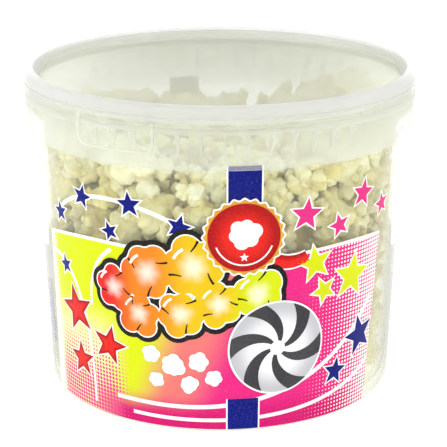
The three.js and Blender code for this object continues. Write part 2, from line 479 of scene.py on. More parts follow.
@dataclass(frozen=True)
class LidPlastic(ClearPlastic):
    """The lid's plastic: an even grey-green haze on the panel, thicker on the plug wall round
    it, and white on the rim outside."""

    plug_haze: float = 0.36
    plug_cloud: Colour = linear(232, 233, 227)
    plug_inside: float = 98.5 * MM
    rim_haze: float = 0.42
    rim_cloud: Colour = linear(251, 251, 252)
    rim_tint: Colour = linear(255, 255, 255)
    rim_inside: float = 101 * MM

    def on_plug(self, bench: Bench) -> Socket:
        """1 on the plug wall and beyond it, and 0 on the panel."""
        return bench.ease(self.reach(bench), self.plug_inside - 0.3 * MM, self.plug_inside)

    def on_rim(self, bench: Bench) -> Socket:
        """1 on the rim, and 0 on the panel and its plug wall."""
        return bench.ease(self.reach(bench), self.rim_inside - 0.5 * MM, self.rim_inside)

    def milk(self, bench: Bench) -> Socket | float:
        """Share of the light that a face seen straight on scatters."""
        step = self.plug_haze - self.haze
        inner = bench.math("MULTIPLY_ADD", self.on_plug(bench), step, self.haze)
        rest = bench.math("SUBTRACT", self.rim_haze, inner)
        return bench.math("MULTIPLY_ADD", self.on_rim(bench), rest, inner)

    def body_colour(self, bench: Bench) -> Socket | Colour:
        """Colour of the light that the plastic scatters."""
        inner = bench.blend(self.on_plug(bench), self.cloud, self.plug_cloud)
        return bench.blend(self.on_rim(bench), inner, self.rim_cloud)

    def clear_colour(self, bench: Bench) -> Socket | Colour:
        """Tint of the light that goes straight through."""
        return bench.blend(self.on_plug(bench), self.tint, self.rim_tint)


@dataclass(frozen=True)
class Ink:
    """Printed ink under the label's glossy film, faintly uneven as printed film is."""

    name: str
    colour: Colour
    shade: Colour
    roughness: float = 0.16
    worn_roughness: float = 0.24
    gloss: float = 0.08
    speckles: float = 0.06
    white: Colour = linear(238, 238, 234)
    backed: float = 0.9
    patch_scale: float = 14
    speckle_scale: float = 2600
    wear_scale: float = 60
    relief_scale: float = 36
    relief_depth: float = 0.35 * MM

    def base(self, bench: Bench) -> Socket:
        """The ink's colour over the piece."""
        patches = bench.ease(bench.noise(self.patch_scale, 3), 0.35, 0.7)
        return bench.blend(patches, self.colour, self.shade)

    def backing(self, bench: Bench) -> Socket:
        """Share of white, on the faces towards the pail's axis, where white ink backs the rest."""
        normal = bench.node("NewGeometry").outputs["Normal"]
        outwards = bench.node(
            "VectorMath", {0: normal, 1: bench.coordinates()}, operation="DOT_PRODUCT"
        ).outputs["Value"]
        return bench.ease(outwards, 0, -MM, 0, self.backed)

    def build(self) -> bpy.types.Material:
        """Makes the material, with the film's gloss over the ink."""
        bench = Bench(self.name)
        speckle = bench.noise(self.speckle_scale, 1)
        mottled = bench.blend(
            bench.ease(speckle, 0.55, 0.75, 0, self.speckles), self.base(bench), (1, 1, 1, 1)
        )
        mottled = bench.blend(self.backing(bench), mottled, self.white)
        relief = bench.bump(bench.noise(self.relief_scale, 3), self.relief_depth, 0.3)
        wear = bench.noise(self.wear_scale, 2)
        wear = bench.ease(wear, 0.3, 0.7, self.roughness, self.worn_roughness)
        shader = bench.node(
            "BsdfPrincipled",
            {
                "Base Color": mottled, "Roughness": wear, "Normal": relief,
                "Specular IOR Level": self.gloss,
            },
        ).outputs[0]
        return bench.finish(shader)


@dataclass(frozen=True)
class GroundInk(Ink):
    """The label's fields of colour: lime to the left, salmon between, magenta to the right,
    with screens of round dots where the fields fade out."""

    lime: Colour = linear(208, 222, 8)
    salmon: Colour = linear(224, 116, 112)
    magenta: Colour = linear(222, 36, 124)
    deep: Colour = linear(204, 18, 108)
    paper: Colour = linear(247, 245, 238)
    straw: Colour = linear(238, 230, 170)
    pink: Colour = linear(222, 70, 132)
    pitch: float = 2.2 * MM
    lean: float = -0.35
    salmon_from: tuple[float, float] = (-58 * MM, -34 * MM)
    magenta_from: tuple[float, float] = (-28 * MM, -6 * MM)
    straw_below: tuple[float, float] = (66 * MM, 40 * MM)
    straw_left: tuple[float, float] = (-48 * MM, -72 * MM)
    deep_below: tuple[float, float] = (22 * MM, 7 * MM)
    deep_right: tuple[float, float] = (-84 * MM, -52 * MM)
    corner_below: tuple[float, float, float, float] = (66 * MM, 12 * MM, 0, 0.46)
    corner_left: tuple[float, float] = (-44 * MM, -62 * MM)
    left_dots: tuple[float, float, float, float] = (-98 * MM, -114 * MM, 0, 0.8)
    right_dots: tuple[float, float, float, float] = (34 * MM, 98 * MM, 0, 0.47)

    def dots(self, bench: Bench, across: object, up: object, size: object) -> Socket:
        """A screen of round dots.

        Args:
            bench: The material's nodes.
            across: Place along the label.
            up: Place up the label.
            size: Radius of the dots as a share of their spacing.

        Returns:
            1 on a dot and 0 between the dots.
        """
        cells = []
        for place in (across, up):
            cell = bench.math("FRACT", bench.math("DIVIDE", place, self.pitch))
            cells.append(bench.math("SUBTRACT", cell, 0.5))
        squares = [bench.math("MULTIPLY", cell, cell) for cell in cells]
        reach = bench.math("SQRT", bench.math("ADD", *squares))
        edge = bench.math("SUBTRACT", size, reach)
        return bench.ease(edge, -0.03, 0.03)

    def base(self, bench: Bench) -> Socket:
        """The fields' colours over the flat label."""
        flat = bench.node("UVMap", uv_map="Flat").outputs[0]
        split = bench.node("SeparateXYZ", {0: flat})
        across, up = split.outputs[0], split.outputs[1]

        def corner(low: tuple[float, ...], side: tuple[float, ...]) -> Socket:
            """Share that grows downwards and towards one side."""
            return bench.math("MULTIPLY", bench.ease(up, *low), bench.ease(across, *side))

        def screen(field: Socket, size: Socket, colour: Colour) -> Socket:
            """The field with a screen of dots over it."""
            return bench.blend(self.dots(bench, across, up, size), field, colour)

        lean = bench.math("MULTIPLY_ADD", up, self.lean, across)
        field = bench.blend(bench.ease(lean, *self.salmon_from), self.lime, self.salmon)
        field = bench.blend(bench.ease(lean, *self.magenta_from), field, self.magenta)
        field = bench.blend(corner(self.straw_below, self.straw_left), field, self.straw)
        field = bench.blend(corner(self.deep_below, self.deep_right), field, self.deep)
        field = screen(field, corner(self.corner_below, self.corner_left), self.pink)
        field = screen(field, bench.ease(across, *self.left_dots), self.paper)
        return screen(field, bench.ease(across, *self.right_dots), self.paper)


@dataclass(frozen=True)
class PuffInk(Ink):
    """The ink of the printed puffs: red at the left through orange and yellow to lime, each
    puff paler towards its middle."""

    red: Colour = linear(216, 40, 34)
    orange: Colour = linear(232, 128, 30)
    yellow: Colour = linear(222, 186, 16)
    lime: Colour = linear(204, 218, 12)
    glow: Colour = (1, 0.95, 0.86, 1)
    orange_from: tuple[float, float] = (-60 * MM, -42 * MM)
    yellow_from: tuple[float, float] = (-36 * MM, -12 * MM)
    lime_from: tuple[float, float] = (0, 18 * MM)

    def base(self, bench: Bench) -> Socket:
        """The colours along the row of puffs."""
        flat = bench.node("UVMap", uv_map="Flat").outputs[0]
        across = bench.node("SeparateXYZ", {0: flat}).outputs[0]
        row = bench.blend(bench.ease(across, *self.orange_from), self.red, self.orange)
        row = bench.blend(bench.ease(across, *self.yellow_from), row, self.yellow)
        row = bench.blend(bench.ease(across, *self.lime_from), row, self.lime)
        shine = bench.ease(bench.attribute("centre"), 0.35, 1.0, 0, 0.7)
        return bench.blend(shine, row, self.glow)


@dataclass(frozen=True)
class ShadedInk(Ink):
    """An ink that darkens from the middle of its shape to the rim, for a rounded look."""

    def base(self, bench: Bench) -> Socket:
        """The ink's colour, from the middle outwards."""
        rim = bench.ease(bench.attribute("centre"), 0.6, 0.05)
        return bench.blend(rim, self.colour, self.shade)


@dataclass(frozen=True)
class PoppedCorn:
    """Popped corn: matt cream puffs, with painted shade darkening the folds towards each kernel's
    middle, and brown bits of hull.
    """

    name: str = "popped_corn"
    cream: Colour = linear(246, 241, 200)
    butter: Colour = linear(234, 222, 148)
    # Painted shade colour for the folds; the random flecks take the same colour.
    fold_shade: Colour = linear(208, 182, 98)
    hull: Colour = linear(168, 126, 62)
    blotch_scale: float = 120
    fleck_scale: float = 420
    wrinkle_scale: float = 260
    wrinkle_depth: float = 0.9 * MM
    pore_scale: float = 520
    pore_depth: float = 0.25 * MM
    soft_depth: float = 1.6 * MM

    def build(self) -> bpy.types.Material:
        """Makes the material from the tone, painted fold shade and hull numbers that the kernels
        carry.
        """
        bench = Bench(self.name)
        blotches = bench.noise(self.blotch_scale, 4)
        tone = bench.math(
            "ADD", bench.attribute("tone"), bench.ease(blotches, 0.35, 0.7, -0.2, 0.3), clamp=True
        )
        skin = bench.blend(tone, self.cream, self.butter)
        # Painted shade: darkens the folds towards each kernel's middle.
        fold_shades = bench.ease(bench.attribute("fold_shade"), 0.42, 0.8, 0, 0.75)
        skin = bench.blend(fold_shades, skin, self.fold_shade)
        # Random flecks in the colour of the painted fold shade.
        flecks = bench.ease(bench.noise(self.fleck_scale, 3), 0.66, 0.74, 0, 0.35)
        skin = bench.blend(flecks, skin, self.fold_shade)
        skin = bench.blend(bench.ease(bench.attribute("hull"), 0.1, 0.9, 0, 0.8), skin, self.hull)
        pores = bench.node(
            "TexVoronoi", {"Vector": bench.coordinates(), "Scale": self.pore_scale}
        ).outputs["Distance"]
        wrinkles = bench.node(
            "Bump",
            {
                "Strength": 0.8, "Distance": self.wrinkle_depth,
                "Height": bench.noise(self.wrinkle_scale, 5),
                "Normal": bench.bump(pores, self.pore_depth, 0.35),
            },
        ).outputs[0]
        shader = bench.node(
            "BsdfPrincipled",
            {
                "Base Color": skin,
                "Roughness": bench.ease(blotches, 0.3, 0.7, 0.62, 0.8),
                "Normal": wrinkles,
                "Specular IOR Level": 0.3,
                "Subsurface Weight": 0.25,
                "Subsurface Radius": (1.0, 0.85, 0.5),
                "Subsurface Scale": self.soft_depth,
            },
        ).outputs[0]
        return bench.finish(shader)


class Slot(Enum):
    """The record's material slots."""

    PAIL = "pail_plastic"
    LID = "lid_plastic"
    LABEL = "label_print"
    CORN = "popped_corn"


def dress(piece: Piece, material: bpy.types.Material, slot: Slot, *nodes: str) -> None:
    """Gives a piece its finish and body, and reports it.

    Args:
        piece: The finished piece.
        material: Its only material.
        slot: The record's slot for that finish. Not used.
        *nodes: The CAD nodes that the piece stands for.
    """
    piece.data.materials.clear()
    piece.data.materials.append(material)
    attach(piece, "root")
    if nodes:
        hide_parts(*nodes)
    LOG.info("%s: %d faces", piece.name, len(piece.data.polygons))


# ---- the pail ------------------------------------------------------------------------------


@dataclass
class Pail:
    """The clear pail: wall, base, foot ring, ledge, collar, rim, webs and tear tabs."""

    rim_height: float = 173.1 * MM
    rim_bead: float = 1.1 * MM
    seat: float = 164.6 * MM
    shoulder: float = 1.6 * MM
    ledge: float = 2.0 * MM
    collar_wall: float = 1.4 * MM
    collar_low: float = 144.3 * MM
    collar_top: float = 169.6 * MM
    collar_draft: float = 0.8 * MM
    lip_draw: float = 1.2 * MM
    foot_width: float = 4.6 * MM
    foot_slope: float = 1.4 * MM
    chamfer: float = 1.3 * MM
    lip_thinning: float = 0.4 * MM
    bead_height: float = 1.7 * MM
    bead_foot: float = 3 * MM
    base_corner: tuple[float, float] = (2.6 * MM, 3 * MM)
    fillet: float = 0.35 * MM
    bevelled_from: float = 20
    webs: int = 56
    web_drop: float = 14 * MM
    web_thickness: float = 0.9 * MM
    web_tip: float = 2.2 * MM
    bury: float = 0.3 * MM
    first_web: float = 1.4
    tab_turns: tuple[float, ...] = (-29, 184)
    tab_width: float = 43 * MM
    tab_drop: float = 11 * MM
    tab_rise: float = 4 * MM
    tab_corner: float = 5 * MM
    tab_line: float = 0.8 * MM
    tab_relief: float = 0.55 * MM
    tab_inset: float = 0.98
    tab_root: float = 0.2 * MM

    @property
    def widest(self) -> float:
        """Height of the collar's widest line."""
        return self.seat - self.shoulder

    def collar_outside(self, height: float | np.ndarray) -> float | np.ndarray:
        """Outside radius of the collar at a height."""
        below = np.maximum(self.widest - height, 0) / (self.widest - self.collar_low)
        above = np.maximum(height - self.widest, 0) / (self.collar_top - self.widest)
        return COLLAR_RADIUS - self.collar_draft * below - self.lip_draw * above

    def shell(self) -> Piece:
        """Turns the pail's body, with a fillet on every corner."""
        inner_collar = COLLAR_RADIUS - self.collar_wall
        foot = WALL.base_radius - self.chamfer
        ledge_low = self.seat - self.ledge
        under_bead = self.rim_height - self.bead_foot
        corner_run, corner_rise = self.base_corner
        outline = [
            (0, WALL.foot_height),
            (foot - self.foot_width - self.foot_slope, WALL.foot_height),
            (foot - self.foot_width, 0),
            (foot, 0),
            (WALL.outer(self.chamfer), self.chamfer),
            (WALL.outer(ledge_low), ledge_low),
            (inner_collar, ledge_low),
            (inner_collar - self.collar_draft, self.collar_low),
            (COLLAR_RADIUS - self.collar_draft, self.collar_low),
            (COLLAR_RADIUS, self.widest),
            (COLLAR_RADIUS - self.lip_draw, self.collar_top),
            (inner_collar - self.lip_draw + self.lip_thinning, self.collar_top),
            (inner_collar, self.seat),
            (WALL.outer(self.seat), self.seat),
            (WALL.outer(under_bead), under_bead),
            (WALL.outer(self.rim_height) + self.rim_bead, self.rim_height - self.bead_height),
            (WALL.outer(self.rim_height), self.rim_height),
            (WALL.inner(self.rim_height), self.rim_height),
            (WALL.inner(WALL.floor + corner_rise), WALL.floor + corner_rise),
            (WALL.inner(WALL.floor) - corner_run, WALL.floor),
            (0, WALL.floor),
        ]
        piece = turned("pail_shell", outline)
        apply_modifier(
            piece, "BEVEL", width=self.fillet, segments=2, limit_method="ANGLE",
            angle_limit=math.radians(self.bevelled_from),
        )
        smooth(piece)
        return piece

    def web_ring(self) -> Piece:
        """Models one web under the ledge and repeats it round the pail."""
        ledge_low = self.seat - self.ledge
        inner = WALL.outer(ledge_low - self.web_drop) - self.bury
        reach = COLLAR_RADIUS - self.collar_wall + self.bury - inner
        rise = self.web_drop + self.bury
        deselect()
        bpy.ops.mesh.primitive_cube_add(size=1)
        bpy.ops.object.mode_set(mode="EDIT")
        bpy.ops.transform.resize(value=(reach, self.web_thickness, rise))
        centre = (inner + reach / 2, 0, ledge_low + self.bury - rise / 2)
        bpy.ops.transform.translate(value=centre)
        bpy.ops.object.mode_set(mode="OBJECT")
        piece = named("pail_webs")
        points = points_of(piece)
        outer = points[:, 0] > centre[0]
        low = points[:, 2] < centre[2]
        points[outer & low, 2] += rise - self.web_tip
        move_points(piece, points)
        apply_modifier(piece, "BEVEL", width=0.25 * MM, segments=1)
        piece.data.transform(Matrix.Rotation(math.radians(self.first_web - 90), 4, "Z"))
        choose(piece)
        copies = self.webs - 1
        edit_all(
            bpy.ops.mesh.spin, steps=copies, dupli=True, angle=TURN * copies / self.webs,
            center=(0, 0, 0), axis=(0, 0, 1),
        )
        close_up(piece)
        smooth(piece)
        return piece

    def tab_path(self, share: np.ndarray) -> Spread:
        """Follows a tear tab's U outline.

        Args:
            share: Share of the way from the upper left end to the upper right end.

        Returns:
            Place along the collar and height.
        """
        half = self.tab_width / 2
        top = self.widest + self.tab_rise
        low = self.widest - self.tab_drop
        side = top - low - self.tab_corner
        bend = self.tab_corner * math.pi / 2
        base = self.tab_width - 2 * self.tab_corner
        way = np.abs(share - 0.5) * (2 * side + 2 * bend + base)
        turn = np.clip((way - base / 2) / self.tab_corner, 0, math.pi / 2)
        across = np.minimum(way, base / 2) + self.tab_corner * np.sin(turn)
        rise = low + self.tab_corner * (1 - np.cos(turn)) + np.maximum(way - base / 2 - bend, 0)
        return np.where(share < 0.5, -across, across).clip(-half, half), rise

    def tab_lines(self) -> Piece:
        """Raises each tear tab's outline on the collar."""

        def ribbon(across: np.ndarray, up: np.ndarray) -> Spread:
            """Lays the outline's line, a little to each side of its path."""
            nudge = 1e-3
            x, z = self.tab_path(across)
            ahead = self.tab_path(np.clip(across + nudge, 0, 1))
            back = self.tab_path(np.clip(across - nudge, 0, 1))
            step_x, step_z = ahead[0] - back[0], ahead[1] - back[1]
            run = np.hypot(step_x, step_z)
            offset = (up - 0.5) * self.tab_line
            return x - step_z / run * offset, z + step_x / run * offset

        made = []
        for turn in self.tab_turns:
            line = sheet(120, 1, ribbon)
            flat = points_of(line)
            angle = flat[:, 0] / COLLAR_RADIUS + math.radians(turn)
            radius = self.collar_outside(flat[:, 1]) + self.tab_relief * self.tab_inset
            move_points(line, around(angle, radius, flat[:, 1]))
            made.append(line)
        piece = joined("pail_tear_tabs", made)
        apply_modifier(piece, "SOLIDIFY", thickness=self.tab_relief + self.tab_root, offset=-1)
        close_up(piece)
        smooth(piece)
        return piece

    def make(self) -> None:
        """Builds and dresses the pail."""
        wall = PailPlastic(
            "pail_clear", haze=0.03, cloud=linear(247, 248, 243), tint=linear(254, 255, 254)
        ).build()
        dress(self.shell(), wall, Slot.PAIL, "pail")
        ribs = ClearPlastic(
            "pail_ribs", haze=0.42, cloud=linear(248, 250, 244), tint=linear(252, 253, 250)
        ).build()
        dress(self.web_ring(), ribs, Slot.PAIL)
        dress(self.tab_lines(), ribs, Slot.PAIL)


# ---- the lid -------------------------------------------------------------------------------


@dataclass
class Lid:
    """The press-on lid: a recessed panel in a sloping rim that hooks over the pail. The crown
    and the inner lip give how far each point is inwards or outwards and down, in millimetres."""

    crown = ((1.1, 3), (2.4, 1.2), (3.7, 0.3), (5.3, 0))
    inner_lip = ((0.3, 0.6), (-1.3, 2.1))
    wall: float = 1.3 * MM
    plug_drop: float = 4.2 * MM
    fillet: float = 0.3 * MM
    bevelled_from: float = 40
    recess: float = 5.5 * MM
    radius: float = 106.8 * MM
    brow: float = 170.1 * MM
    skirt: float = 166.6 * MM
    fit: float = 0.4 * MM
    rim_height: float = Pail.rim_height
    rim_bead: float = Pail.rim_bead

    def shell(self) -> Piece:
        """Turns the lid, with a fillet on its corners."""
        plug = WALL.inner(self.skirt) - self.fit
        hook = WALL.outer(self.rim_height) + self.rim_bead + self.fit
        panel = TOP - self.recess
        plug_low = panel - self.plug_drop
        roof = self.rim_height + self.fit
        outline = [
            (0, panel - self.wall),
            (plug - 2 * MM, panel - self.wall),
            (plug - MM, plug_low),
            (plug, roof),
            (hook, roof),
            (hook, self.skirt),
            (hook + self.wall, self.skirt),
            (hook + self.wall, self.brow),
            (self.radius - 0.3 * MM, self.brow),
            (self.radius, self.brow + 0.5 * MM),
            *((self.radius - inset * MM, TOP - drop * MM) for inset, drop in self.crown),
            *((plug + reach * MM, TOP - drop * MM) for reach, drop in self.inner_lip),
            (plug - 1.5 * MM, panel + 0.8 * MM),
            (plug - 2.4 * MM, panel),
            (0, panel),
        ]
        piece = turned("lid_shell", outline)
        apply_modifier(
            piece, "BEVEL", width=self.fillet, segments=2, limit_method="ANGLE",
            angle_limit=math.radians(self.bevelled_from),
        )
        smooth(piece)
        return piece

    def make(self) -> None:
        """Builds and dresses the lid."""
        plastic = LidPlastic(
            "lid_clear", haze=0.11, cloud=linear(232, 233, 225), tint=linear(253, 254, 250),
            roughness=0.45, ripple=0,
        ).build()
        dress(self.shell(), plastic, Slot.LID, "lid")


# ---- the label -----------------------------------------------------------------------------


@dataclass(frozen=True)
class Star:
    """A five-pointed star on the label: its middle, its reach and its turn in degrees."""

    across: float
    up: float
    reach: float
    turn: float = 0
    waist: float = 0.43

    def grown(self, margin: float) -> "Star":
        """The star with a margin all round it."""
        return Star(
            self.across, self.up, self.reach + 2.3 * margin, self.turn,
            (self.waist * self.reach + 1.25 * margin) / (self.reach + 2.3 * margin),
        )

    def flat(self) -> Piece:
        """Lays the star out flat, with straight sides."""
        corners = 10
        angles = math.pi / 2 + math.radians(self.turn) + TURN * np.arange(corners + 1) / corners
        reach = np.where(np.arange(corners + 1) % 2 == 0, 1.0, self.waist) * self.reach

        def place(across: np.ndarray, up: np.ndarray) -> Spread:
            """Runs round the corners and out from the middle."""
            way = across * corners
            x = np.interp(way, np.arange(corners + 1), reach * np.cos(angles))
            z = np.interp(way, np.arange(corners + 1), reach * np.sin(angles))
            return self.across + up * x, self.up + up * z

        rows = max(2, round(self.reach / CELL))
        return sheet(corners * 3, rows, place)


@dataclass(frozen=True)
class Puff:
    """A printed puff: a cloud of round lobes about a middle."""

    across: float
    up: float
    reach: float
    lobes: int = 6
    turn: float = 0
    stretch: float = 1

    def notch(self, number: int) -> float:
        """Direction of the notch after a lobe, in radians."""
        return math.radians(self.turn) + TURN * (number + 0.5) / self.lobes

    def edge(self, angle: np.ndarray, margin: float) -> np.ndarray:
        """Reach of the cloud's outline in each direction, with a margin round it."""
        reach = np.zeros_like(angle)
        for number in range(self.lobes):
            uneven = 1 + 0.11 * math.sin(2.4 * number * number + self.turn)
            offset = 0.56 * self.reach * uneven
            lobe = 0.45 * self.reach * uneven + margin
            away = angle - math.radians(self.turn) - TURN * number / self.lobes
            inside = np.maximum(lobe**2 - (offset * np.sin(away)) ** 2, 0)
            reach = np.where(
                (np.cos(away) > 0) & (inside > 0),
                np.maximum(reach, offset * np.cos(away) + np.sqrt(inside)), reach,
            )
        return reach

    def crease(self, number: int) -> "Ribbon":
        """A short stroke from a notch in towards the middle."""
        bearing = self.notch(number)
        points = []
        for share, bend in ((1.0, 0.0), (0.76, 0.1), (0.58, 0.34)):
            angle = bearing + bend
            reach = self.edge(np.array([bearing]), 0)[0] * share
            points.append((
                self.across + reach * math.cos(angle),
                self.up + self.stretch * reach * math.sin(angle),
            ))
        return Ribbon(tuple(points), 0.09 * self.reach, 0.04 * self.reach)

    def flat(self, margin: float = 0) -> Piece:
        """Lays the puff out flat, with a margin round it."""

        def place(across: np.ndarray, up: np.ndarray) -> Spread:
            """Runs round the outline and out from the middle."""
            angle = across * TURN
            reach = self.edge(angle, margin) * up
            return (
                self.across + reach * np.cos(angle),
                self.up + self.stretch * reach * np.sin(angle),
            )

        rows = max(2, round(self.reach / FINE_CELL))
        return sheet(self.lobes * 8, rows, place)


@dataclass(frozen=True)
class Wedge:
    """Part of a disc between two radii and two angles, with a twist from inside to outside."""

    across: float
    up: float
    inner: float
    outer: float
    first: float = 0
    last: float = 360
    twist: float = 0
    scallops: int = 0
    scallop_depth: float = 0.035

    def flat(self) -> Piece:
        """Lays the wedge out flat."""

        def place(across: np.ndarray, up: np.ndarray) -> Spread:
            """Runs round the arc and out from the inner radius."""
            angle = np.radians(self.first + (self.last - self.first) * across + self.twist * up)
            depth = self.scallop_depth if self.scallops else 0
            wave = 1 + depth * np.cos(self.scallops * angle)
            reach = (self.inner + (self.outer - self.inner) * up) * wave
            return self.across + reach * np.cos(angle), self.up + reach * np.sin(angle)

        columns = max(4, round(abs(self.last - self.first) / 3))
        rows = max(1, round((self.outer - self.inner) / CELL))
        return sheet(columns, rows, place)


@dataclass(frozen=True)
class Ribbon:
    """A band of even or tapering width along a smooth curve through a few points."""

    points: tuple[tuple[float, float], ...]
    width: float
    end_width: float

    def flat(self, margin: float = 0) -> Piece:
        """Lays the band out flat, with a margin along both sides."""
        knots = np.array(self.points)
        stops = np.linspace(0, 1, len(knots))
        curve = [np.polynomial.Polynomial.fit(stops, knots[:, i], len(knots) - 1) for i in (0, 1)]
        slopes = [line.deriv() for line in curve]

        def place(across: np.ndarray, up: np.ndarray) -> Spread:
            """Runs along the curve and from side to side."""
            run = np.hypot(slopes[0](across), slopes[1](across))
            width = self.width + (self.end_width - self.width) * across + 2 * margin
            side = (up - 0.5) * width
            return (
                curve[0](across) - slopes[1](across) / run * side,
                curve[1](across) + slopes[0](across) / run * side,
            )

        length = np.hypot(*np.diff(knots, axis=0).T).sum()
        columns = max(3, round(length / FINE_CELL))
        rows = max(1, round(self.width / CELL))
        return sheet(columns, rows, place)


@dataclass
class Label:
    """The film label round the wall and the print on it, which repeats on the far side.

    The tables of the print are in millimetres and degrees. An ink has its name, kind, colour,
    shade and other settings, and a star its place, reach and turn. A puff has its place, reach,
    lobes, turn and stretch. A ribbon has its points and its widths at both ends, and a bar its
    left side and its top."""

    inks = (
        ("white", Ink, (248, 248, 246), (240, 240, 236), {}),
        ("blue", Ink, (4, 22, 128), (2, 14, 110), {"white": linear(244, 245, 254)}),
        ("red", ShadedInk, (224, 36, 26), (166, 14, 14), {}),
        ("pink", Ink, (222, 48, 128), (206, 36, 112), {}),
        ("lime", Ink, (212, 222, 8), (200, 210, 6), {}),
        ("violet", Ink, (196, 196, 232), (184, 184, 224), {}),
        ("black", Ink, (30, 28, 26), (20, 18, 18), {}),
        ("gold", Ink, (226, 172, 64), (206, 146, 44), {}),
        ("silver", ShadedInk, (238, 238, 238), (186, 188, 192), {}),
        ("slate", Ink, (84, 84, 86), (56, 56, 60), {}),
        ("ground", GroundInk, (210, 60, 120), (190, 40, 100), {}),
        ("puffs", PuffInk, (230, 140, 40), (210, 110, 30), {}),
    )
    stars = {
        "blue": (
            (-96, 108, 6.0, 8), (-76, 121, 6.6, -12), (-58, 106, 5.4, 20), (-46, 122, 7.0, 5),
            (-20, 113, 6.6, -15), (-94, 79, 5.6, 15), (84, 42, 12.0, 12), (66, 26, 8.0, -10),
        ),
        "pink": ((44, 117, 9.0, -6), (64, 108, 6.6, 14), (80, 122, 8.0, -10), (98, 112, 6.4, 10)),
        "lime": ((50, 90, 10.0, 10), (75, 78, 13.0, -8), (56, 74, 7.5, 25)),
        "red": ((-86, 56, 14.0, 14), (-62, 42, 11.5, -12), (-84, 28, 10.5, 4)),
    }
    row = (
        (-57, 76, 12, 5, 20, 1.05), (-37, 87, 14, 6, 0, 1.05), (-13, 92, 15, 6, 50, 1.05),
        (-42, 64, 12, 5, 80), (-20, 66, 13, 6, 15), (0, 72, 12.5, 5, 35, 1.05),
        (19, 77, 13, 6, 40, 1.1),
    )
    flakes = (
        (-36, 42, 4.6, 5, 10), (-24, 37, 5.6, 6, 30), (-11, 40, 4.8, 5, 0),
        (-3, 31, 4.2, 5, 60), (-34, 28, 3.8, 5, 45), (-16, 27, 4.4, 6, 20),
    )
    sweeps = (
        (((-106, 84), (-82, 64), (-74, 6)), 2.6, 1.4),
        (((-58, 14), (-14, 14), (40, 24), (92, 62)), 2.2, 2.6),
        (((-48, 7), (6, 7), (56, 12), (93, 26)), 2.0, 2.2),
        (((-58, 96), (-70, 82), (-73, 62)), 2.2, 1.2),
        (((-100, 106), (-76, 121), (-46, 122), (-18, 112)), 2.2, 2.2),
    )
    tails = (
        (((-1, 96), (-14, 93), (-27, 96)), 8, 6),
        (((23, 97), (34, 93), (45, 95)), 8, 6),
    )
    bars = ((-128, 60), (-125, 56), (-122, 62))
    film: float = 0.3 * MM
    gap: float = 0.3 * MM
    seam: float = 2.4 * MM
    seam_turn: float = 90
    layer: float = 0.05 * MM
    ink: float = 0.03 * MM
    repeat: float = 185.5
    ground_left: float = -114 * MM
    ground_right: float = 98 * MM
    band: tuple[float, float] = (4.1 * MM, 20.3 * MM)
    badge: tuple[float, float] = (12 * MM, 108 * MM)
    badge_reach: float = 18 * MM
    ball: tuple[float, float] = (30 * MM, 46.5 * MM)
    ball_reach: float = 25 * MM
    band_inset: float = 0.4 * MM
    band_foot: float = 19 * MM
    trim: float = 0.8 * MM
    bar_width: float = 1.6 * MM
    bar_foot: float = 24 * MM
    print_foot: float = 0.2 * MM
    edge_height: float = 93 * MM
    edge_swell: float = 5.5 * MM
    edge_ripple: float = 2.6 * MM
    edge_width: float = 1.8 * MM
    left_lean: float = 4 * MM
    right_lean: float = 6 * MM
    star_border: float = 0.75 * MM
    puff_shadow: float = 3.2 * MM
    puff_border: float = 0.7 * MM
    flake_border: float = 0.5 * MM

    @property
    def outside(self) -> float:
        """Distance from the wall's outside to the film's outside."""
        return self.gap + self.film

    def film_sleeve(self) -> Piece:
        """Turns the film, open along its seam."""
        low = WALL.outer(LABEL_LOW) + self.gap
        top = WALL.outer(LABEL_TOP) + self.gap
        half = self.seam / 2 / WALL.base_radius
        outline = [
            (low, LABEL_LOW),
            (low + self.film, LABEL_LOW),
            (top + self.film, LABEL_TOP),
            (top, LABEL_TOP),
            (low, LABEL_LOW),
        ]
        start = math.radians(self.seam_turn - 90) + half
        piece = turned("label_film", outline, 192, TURN - 2 * half, start)
        smooth(piece)
        return piece

    def wrap(self, piece: Piece, layer: int, turn: float) -> None:
        """Rolls a flat piece of print round the film.

        Args:
            piece: The flat print.
            layer: How many layers of ink lie under it.
            turn: Degrees from the front to the middle of the print.
        """
        flat = points_of(piece)
        angle = flat[:, 0] / WALL.outer(LABEL_TOP / 2) + math.radians(turn)
        radius = WALL.outer(flat[:, 1]) + self.outside + (layer + 1) * self.layer
        move_points(piece, around(angle, radius, flat[:, 1]))

    def printed(
        self, name: str, layer: int, flats: list[Piece], finish: bpy.types.Material
    ) -> None:
        """Rolls flat shapes of one ink on both sides of the pail and dresses them.

        Args:
            name: The piece's name.
            layer: How many layers of ink lie under it.
            flats: The flat shapes.
            finish: The ink.
        """
        front = joined(name, flats)
        choose(front)
        bpy.ops.object.duplicate()
        back = bpy.context.object
        self.wrap(front, layer, 0)
        self.wrap(back, layer, self.repeat)
        piece = joined(name, [front, back])
        close_up(piece)
        apply_modifier(piece, "SOLIDIFY", thickness=self.ink, offset=-1)
        smooth(piece)
        dress(piece, finish, Slot.LABEL)

    def ground_edge(self, across: np.ndarray) -> np.ndarray:
        """Height of the printed ground's wavy upper edge."""
        share = math.pi * (across - self.ground_left) / (self.ground_right - self.ground_left)
        swell = self.edge_swell * np.sin(share)
        return self.edge_height + swell + self.edge_ripple * np.sin(2.6 * share)

    def ground(self) -> Piece:
        """The fields of colour, up to their wavy edge."""

        def place(across: np.ndarray, up: np.ndarray) -> Spread:
            """Fills the field from the label's lower edge up to the wave."""
            left = self.ground_left + self.left_lean * up
            right = self.ground_right - self.right_lean * (1 - up)
            x = left + (right - left) * across
            low = LABEL_LOW + self.print_foot
            return x, low + (self.ground_edge(x) - low) * up

        return sheet(90, 40, place)

    def edge_line(self) -> Piece:
        """The white line along the ground's upper edge."""

